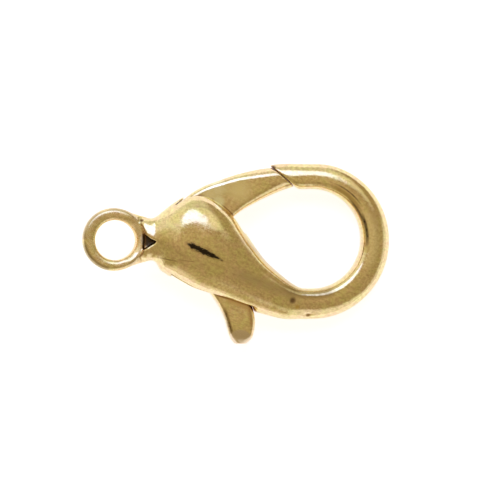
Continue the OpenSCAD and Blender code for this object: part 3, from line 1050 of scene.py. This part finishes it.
def bumped(tree, reliefs):
    """The normal with reliefs laid over each other: values and their heights in metres."""
    normal = None
    for value, height in reliefs:
        bump = tree.nodes.new("ShaderNodeBump")
        bump.inputs["Distance"].default_value = height
        tree.links.new(value, bump.inputs["Height"])
        if normal:
            tree.links.new(normal, bump.inputs["Normal"])
        normal = bump.outputs["Normal"]
    return normal


def finished(tree, shader, colour, rough, normal):
    """Links colour, roughness and normal to a shader."""
    for name, value in (("Base Color", colour), ("Roughness", rough), ("Normal", normal)):
        tree.links.new(value, shader.inputs[name])


def plating(tree, place, grain, brushed):
    """Yellow gold, in patches more olive, pinker, redder and browner."""
    colour = GOLD_OLIVE
    for scale, detail, rough, start, full, tint, blend in GOLD_PATCHES:
        share = ramp(tree, noise(tree, place, scale, detail, rough), start, full)
        colour = mixed(tree, share, colour, tint, blend)
    for value, edge in ((grain, GRAIN_BROWN), (brushed, BRUSH_BROWN)):
        colour = mixed(tree, ramp(tree, value, *edge), colour, BROWN)
    return colour


def with_soil_and_shade(tree, colour, place, grain):
    """The colour with soil and painted shade in the crevices, and rust and painted shade along
    the seam, but for a clean place.
    """
    clean = ramp(tree, between(tree, place, SLOT_END, "DISTANCE"), *CLEAN_EDGE)
    for name, ragged, edge, tint in SOIL_AND_SHADE_MARKS:
        depth = plus(tree, carried(tree, name), times(tree, grain, ragged))
        colour = mixed(tree, times(tree, ramp(tree, depth, *edge), clean), colour, tint)
    return colour


def claw_marks(tree, colour, place, grain, height, front):
    """The colour with the claw's dark streak, painted shade in the nose's pit and its arcs of
    stain, painted light and painted shade, and how much rougher the plating is on the
    eyelet and in the marks."""
    dark, fringe = dark_streak(tree, place, front)
    colour = mixed(tree, times(tree, fringe, FRINGE_SHARE), colour, BROWN)
    colour = mixed(tree, dark, colour, STREAK_DARK)
    # Painted shade in the nose's pit, darker below the ridge
    pit = times(tree, spot(tree, place, *PIT_SHADE_SPOT), ramp(tree, height, *PIT_SHADE_EDGE))
    colour = mixed(tree, pit, colour, PIT_SHADE)
    for centre, radius, half, start, end, strength, tint in ARCS_OF_STAIN_AND_LIGHT:
        line = times(tree, arc_line(tree, place, centre, radius, half, start, end), front)
        patchy = ramp(tree, grain, *ARC_PATCHY, ARC_FAINTEST * strength, strength)
        colour = mixed(tree, times(tree, line, patchy), colour, tint)
    eyelet = ramp(tree, between(tree, place, (0, 0, 0), "DISTANCE"), *EYELET_EDGE)
    marks = maths(tree, "MAXIMUM", dark, pit)
    rougher = plus(tree, times(tree, eyelet, EYELET_ROUGHER), times(tree, marks, MARKS_ROUGHER))
    return colour, rougher


def with_stains_and_painted_light(tree, colour, place, grain, front, name):
    """The colour with a casting's lines and spots of stain, painted highlight and painted shade.
    """
    for start, end, half, strength, tint in LINES_OF_STAIN_AND_SHADE[name]:
        share, aside = beside_line(tree, place, start, end)
        line = times(tree, window(tree, share, *LINE_ENDS),
                     ramp(tree, aside, LINE_CORE * half, half, strength, 0.0))
        line = times(tree, line, ramp(tree, grain, *LINE_PATCHY))
        colour = mixed(tree, times(tree, line, front), colour, tint)
    for at, radius, soft, tint in SPOTS_OF_STAIN_AND_LIGHT[name]:
        colour = mixed(tree, spot(tree, place, at, radius, soft), colour, tint)
    return colour


def gold(name, body_roughness):
    """Gold plating, worn and dirty in places, with painted shade in its crevices, a dark
    streak, stains and painted highlights, waves left by the polishing and the grain of the
    casting under it."""
    mat, tree, shader = metal(name)
    place = carried(tree, "place", "Vector")
    height = node_in(tree, "ShaderNodeSeparateXYZ", place).outputs["Z"]
    front = ramp(tree, height, *FRONT_EDGE)
    grain = noise(tree, place, *GRAIN_NOISE)
    brushed = noise(tree, drawn_out(tree, place, STROKE_ANGLE, BRUSH_LENGTHS), *BRUSH_NOISE)
    waves = noise(tree, place, *WAVE_NOISE)

    colour = with_soil_and_shade(tree, plating(tree, place, grain, brushed), place, grain)
    rough = plus(tree, body_roughness, ramp(tree, grain, *GRAIN_ROUGH))
    if name == "gold_plate":
        colour, rougher = claw_marks(tree, colour, place, grain, height, front)
        rough = plus(tree, rough, rougher)
    colour = with_stains_and_painted_light(tree, colour, place, grain, front, name)
    normal = bumped(tree, ((waves, WAVE_HEIGHT), (brushed, BRUSH_HEIGHT), (grain, GRAIN_HEIGHT)))
    finished(tree, shader, colour, rough, normal)
    return mat


def drawn_metal(name, tint, wear, roughness):
    """Drawn wire or strip, with fine lines along it and dull patches."""
    mat, tree, shader = metal(name)
    where = node_in(tree, "ShaderNodeTexCoord").outputs["Object"]
    lines = noise(tree, drawn_out(tree, where, 0, DRAWN_LENGTHS), *DRAWN_NOISE)
    colour = mixed(tree, ramp(tree, noise(tree, where, *DULL_NOISE), *DULL_EDGE), tint, wear)
    rough = plus(tree, ramp(tree, lines, *DRAWN_ROUGH), roughness)
    finished(tree, shader, colour, rough, bumped(tree, [(lines, GRAIN_HEIGHT)]))
    return mat


claw.data.materials.append(gold("gold_plate", CLAW_ROUGHNESS))
lever.data.materials.append(gold("gold_plate_lever", LEVER_ROUGHNESS))
pin.data.materials.append(drawn_metal("pin_metal", PIN_TINT, PIN_WEAR, PIN_ROUGHNESS))
spring.data.materials.append(drawn_metal("spring_steel", STEEL, STEEL_WEAR, STEEL_ROUGHNESS))


# The floor glows a little, as bright paper under a soft light does
FLOOR_SIZE = 2
PAPER = (0.8, 0.8, 0.8, 1)
PAPER_ROUGHNESS = 0.9
PAPER_SHINE = 0.1
PAPER_GLOW = (0.94, 0.97, 1.05, 1)
PAPER_GLOW_STRENGTH = 0.68

# The camera looks straight down. The picture's width at mid height of the bulb, the
# picture's middle from the eyelet's centre and the camera's height, in metres
FRAME_WIDTH = 0.03273
FROM_EYELET = (8.607 * MM, -0.041 * MM)
CAMERA_UP = 0.5
CLIP_START = 0.01
SENSOR = 36


def add_floor():
    """A plain sheet of white paper."""
    bpy.ops.mesh.primitive_plane_add(size=FLOOR_SIZE)
    floor = bpy.context.object
    floor.name = "floor"
    paper = bpy.data.materials.new("paper")
    paper.use_nodes = True
    shader = paper.node_tree.nodes["Principled BSDF"]
    for name, value in (("Base Color", PAPER), ("Roughness", PAPER_ROUGHNESS),
                        ("Specular IOR Level", PAPER_SHINE), ("Emission Color", PAPER_GLOW),
                        ("Emission Strength", PAPER_GLOW_STRENGTH)):
        shader.inputs[name].default_value = value
    floor.data.materials.append(paper)


def add_camera():
    """A camera that looks straight down, as the photo's does."""
    data = bpy.data.cameras.new("camera")
    camera = in_scene("camera", data)
    camera.location = (SHIFT[0] + FROM_EYELET[0], SHIFT[1] + FROM_EYELET[1], CAMERA_UP)
    data.sensor_width = SENSOR
    data.lens = SENSOR * (CAMERA_UP - BULB_T / 2 * MM) / FRAME_WIDTH
    data.clip_start = CLIP_START
    bpy.context.scene.camera = camera


# Lights round the object, in order, each laid over those before it. U and V are the
# slopes towards +X and +Y of a mirror that shows the light to a camera overhead. Each
# light has its edges along U and V, the softness of those four edges and its colour.
FAR = 9
WALLS = (0.43, 0.355, 0.20)
LIGHTS = [
    ((-0.95, 0.17), (-0.12, 0.30), (0.30, 0.20, 0.16, 0.20), (0.545, 0.455, 0.265)),
    ((-0.85, 0.16), (-FAR, -0.60), (0.30, 0.24, 0.1, 0.16), (0.88, 0.82, 0.70)),
    ((-0.26, 0.14), (-0.80, -0.46), (0.20, 0.20, 0.16, 0.30), (0.54, 0.46, 0.28)),
    ((0.08, FAR), (-FAR, -0.44), (0.12, 0.1, 0.1, 0.16), (0.96, 0.95, 0.88)),
    ((0.66, FAR), (-FAR, 0.15), (0.26, 0.1, 0.1, 0.2), (0.92, 0.91, 0.86)),
    ((0.82, FAR), (0.15, FAR), (0.32, 0.1, 0.2, 0.1), (0.92, 0.91, 0.86)),
    ((-FAR, -0.86), (-FAR, FAR), (0.1, 0.3, 0.1, 0.1), (0.80, 0.76, 0.66)),
    ((-0.78, -0.26), (0.02, FAR), (0.30, 0.16, 0.04, 0.1), (0.68, 0.63, 0.40)),
    ((-0.80, 0.34), (0.135, FAR), (0.30, 0.20, 0.03, 0.1), (0.76, 0.76, 0.64)),
    ((-0.95, -0.34), (0.095, FAR), (0.20, 0.20, 0.03, 0.1), (0.92, 0.94, 0.84)),
    ((-0.60, 0.36), (0.18, 0.48), (0.24, 0.14, 0.08, 0.20), (0.92, 0.92, 0.68)),
    ((-FAR, FAR), (0.88, FAR), (0.1, 0.1, 0.24, 0.1), (0.90, 0.88, 0.80)),
]
# Left of the middle, an edge along U rises by this share of the way
LIGHTS_LEAN = 0.20
# The lamp, an ellipse cut off below: its middle and its half sizes along U and V, its
# edge in shares of them, and the slopes along V where its cut starts and is full
LAMP_AT = (-0.08, 0.275)
LAMP_HALF = (0.280, 0.215)
LAMP_EDGE = (0.80, 1.10, 1.0, 0.0)
LAMP_CUT = (0.135, 0.165)
LAMP_COLOUR = (1.5, 1.8, 2.8)
# The lowest direction, as its Z, whose slopes are worked out
LOWEST = -0.5


def add_studio():
    """A world that shows the lights, for soft light and for the gold to mirror."""
    world = bpy.data.worlds.new("studio")
    bpy.context.scene.world = world
    world.use_nodes = True
    tree = world.node_tree
    where = node_in(tree, "ShaderNodeTexCoord").outputs["Generated"]
    x, y, z = node_in(tree, "ShaderNodeSeparateXYZ", where).outputs
    above = plus(tree, maths(tree, "MAXIMUM", z, LOWEST), 1.0)
    u, v = maths(tree, "DIVIDE", x, above), maths(tree, "DIVIDE", y, above)
    v = plus(tree, v, times(tree, maths(tree, "MINIMUM", u, 0.0), LIGHTS_LEAN))
    sky = WALLS
    for across, up, soft, tint in LIGHTS:
        share = times(tree, window(tree, u, *across, *soft[:2]), window(tree, v, *up, *soft[2:]))
        sky = mixed(tree, share, sky, tint)
    squares = [maths(tree, "POWER", maths(tree, "DIVIDE", minus(tree, w, at), half), 2.0)
               for w, at, half in zip((u, v), LAMP_AT, LAMP_HALF)]
    from_lamp = maths(tree, "SQRT", plus(tree, *squares))
    lamp = times(tree, ramp(tree, from_lamp, *LAMP_EDGE), ramp(tree, v, *LAMP_CUT))
    sky = mixed(tree, lamp, sky, LAMP_COLOUR)
    tree.links.new(sky, tree.nodes["Background"].inputs["Color"])


add_floor()
add_camera()
add_studio()
bpy.context.scene.view_settings.view_transform = "Standard"
